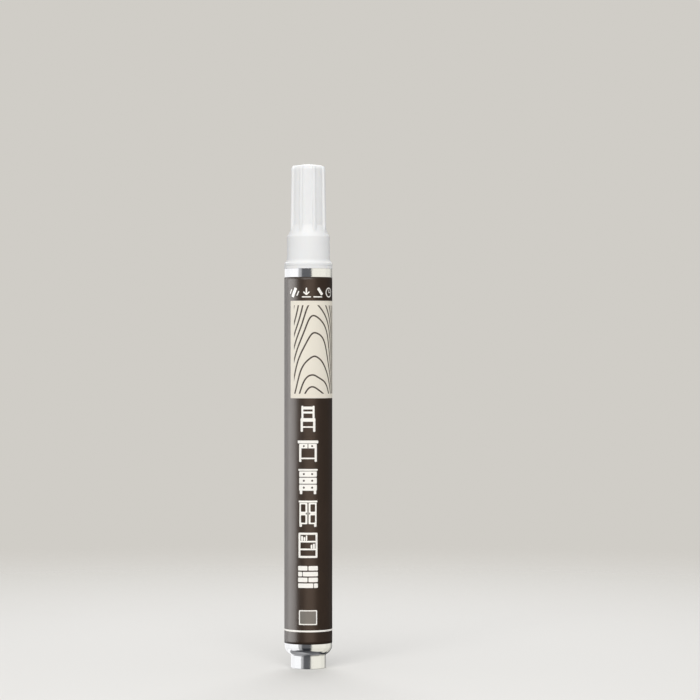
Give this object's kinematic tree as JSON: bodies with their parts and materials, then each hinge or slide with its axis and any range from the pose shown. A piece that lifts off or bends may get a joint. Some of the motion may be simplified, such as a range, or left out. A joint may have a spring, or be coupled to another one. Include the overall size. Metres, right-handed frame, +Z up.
{
  "type": "touch-up paint marker",
  "caption": "Slim valve-feed touch-up marker: aluminium barrel with a wrapped label, ribbed pull-off cap, sprung valve behind a bullet nib, and a loose mixing ball.",
  "frame": {"origin": "centre of the flat tail on which the pen stands", "axes": "+Z up along the pen from the tail to the cap; -Y towards the front of the label; +X to its right as seen from the front"},
  "size_m": [0.015, 0.015, 0.1575],
  "materials": {
    "aluminium": "bright drawn aluminium with faint lengthwise lines",
    "printed_film": "satin printed film, dark brown with a cream panel",
    "white_plastic": "moulded white polypropylene, low gloss",
    "natural_plastic": "unpigmented moulded polypropylene",
    "pressed_fibre": "pressed polyester fibre",
    "seat_rubber": "matt black elastomer",
    "spring_steel": "drawn stainless spring wire",
    "ball_steel": "polished steel"
  },
  "bodies": {
    "pen_body": {"barrel": "aluminium", "film_label": "printed_film", "nose_holder": "white_plastic", "valve_seat": "seat_rubber", "valve_cage": "natural_plastic", "valve_spring": "spring_steel"},
    "nib": {"nib": "pressed_fibre"},
    "valve_stem": {"valve_stem": "natural_plastic"},
    "mixing_ball": {"mixing_ball": "ball_steel"},
    "cap": {"cap_shell": "white_plastic", "inner_cap": "natural_plastic"}
  },
  "joints": [
    {"name": "cap_pull", "type": "slide", "parent": "pen_body", "child": "cap", "axis": [0, 0, 1], "range_m": [0, 0.04]},
    {"name": "nib_press", "type": "slide", "parent": "pen_body", "child": "nib", "axis": [0, 0, -1], "range_m": [0, 0.002], "stiffness_N_per_m": 800, "springref_m": -0.002},
    {"name": "valve_open", "type": "slide", "parent": "pen_body", "child": "valve_stem", "axis": [0, 0, -1], "range_m": [0, 0.002], "deforming": ["valve_spring"]},
    {"name": "ball_rattle", "type": "slide", "parent": "pen_body", "child": "mixing_ball", "axis": [0, 0, 1], "range_m": [0, 0.0935]}
  ],
  "couplings": [
    {"joint": "valve_open", "follows": "nib_press", "ratio": 1}
  ]
}
